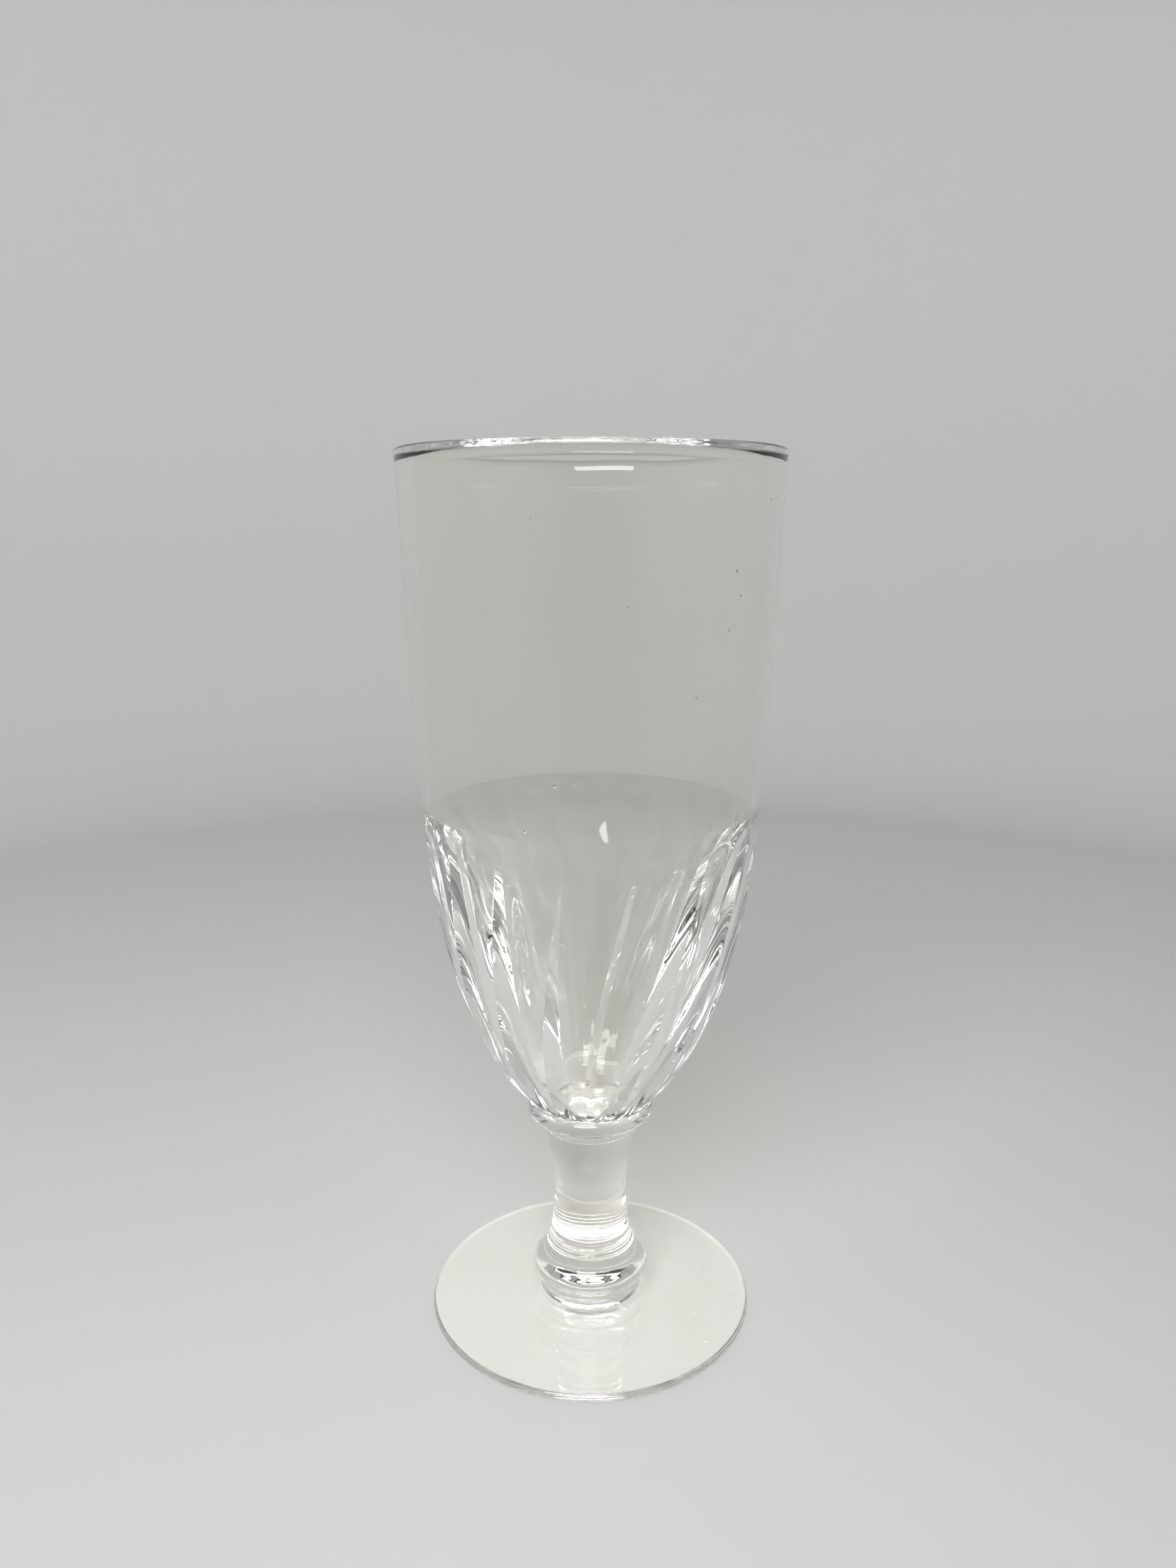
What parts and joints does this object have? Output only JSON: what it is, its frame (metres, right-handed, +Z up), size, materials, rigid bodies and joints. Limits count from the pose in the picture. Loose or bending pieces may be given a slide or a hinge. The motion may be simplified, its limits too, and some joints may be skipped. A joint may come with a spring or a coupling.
{
  "type": "footed drinking glass",
  "caption": "Tall clear-glass goblet: thick tapered bowl with twisted panels below, on a collar, short waisted stem, knop and flat round foot.",
  "frame": {"origin": "middle of the underside of the foot, where the glass stands", "axes": "+Z up along the axis of the glass, +X to the right and -Y towards the viewer"},
  "size_m": [0.0698, 0.0698, 0.17],
  "materials": {
    "clear_glass": "fire-polished clear soda glass with a faint warm-grey tint and a few seeds"
  },
  "bodies": {
    "root": {"bowl": "clear_glass", "bowl_collar": "clear_glass", "stem": "clear_glass", "base_knop": "clear_glass", "foot": "clear_glass"}
  },
  "joints": []
}
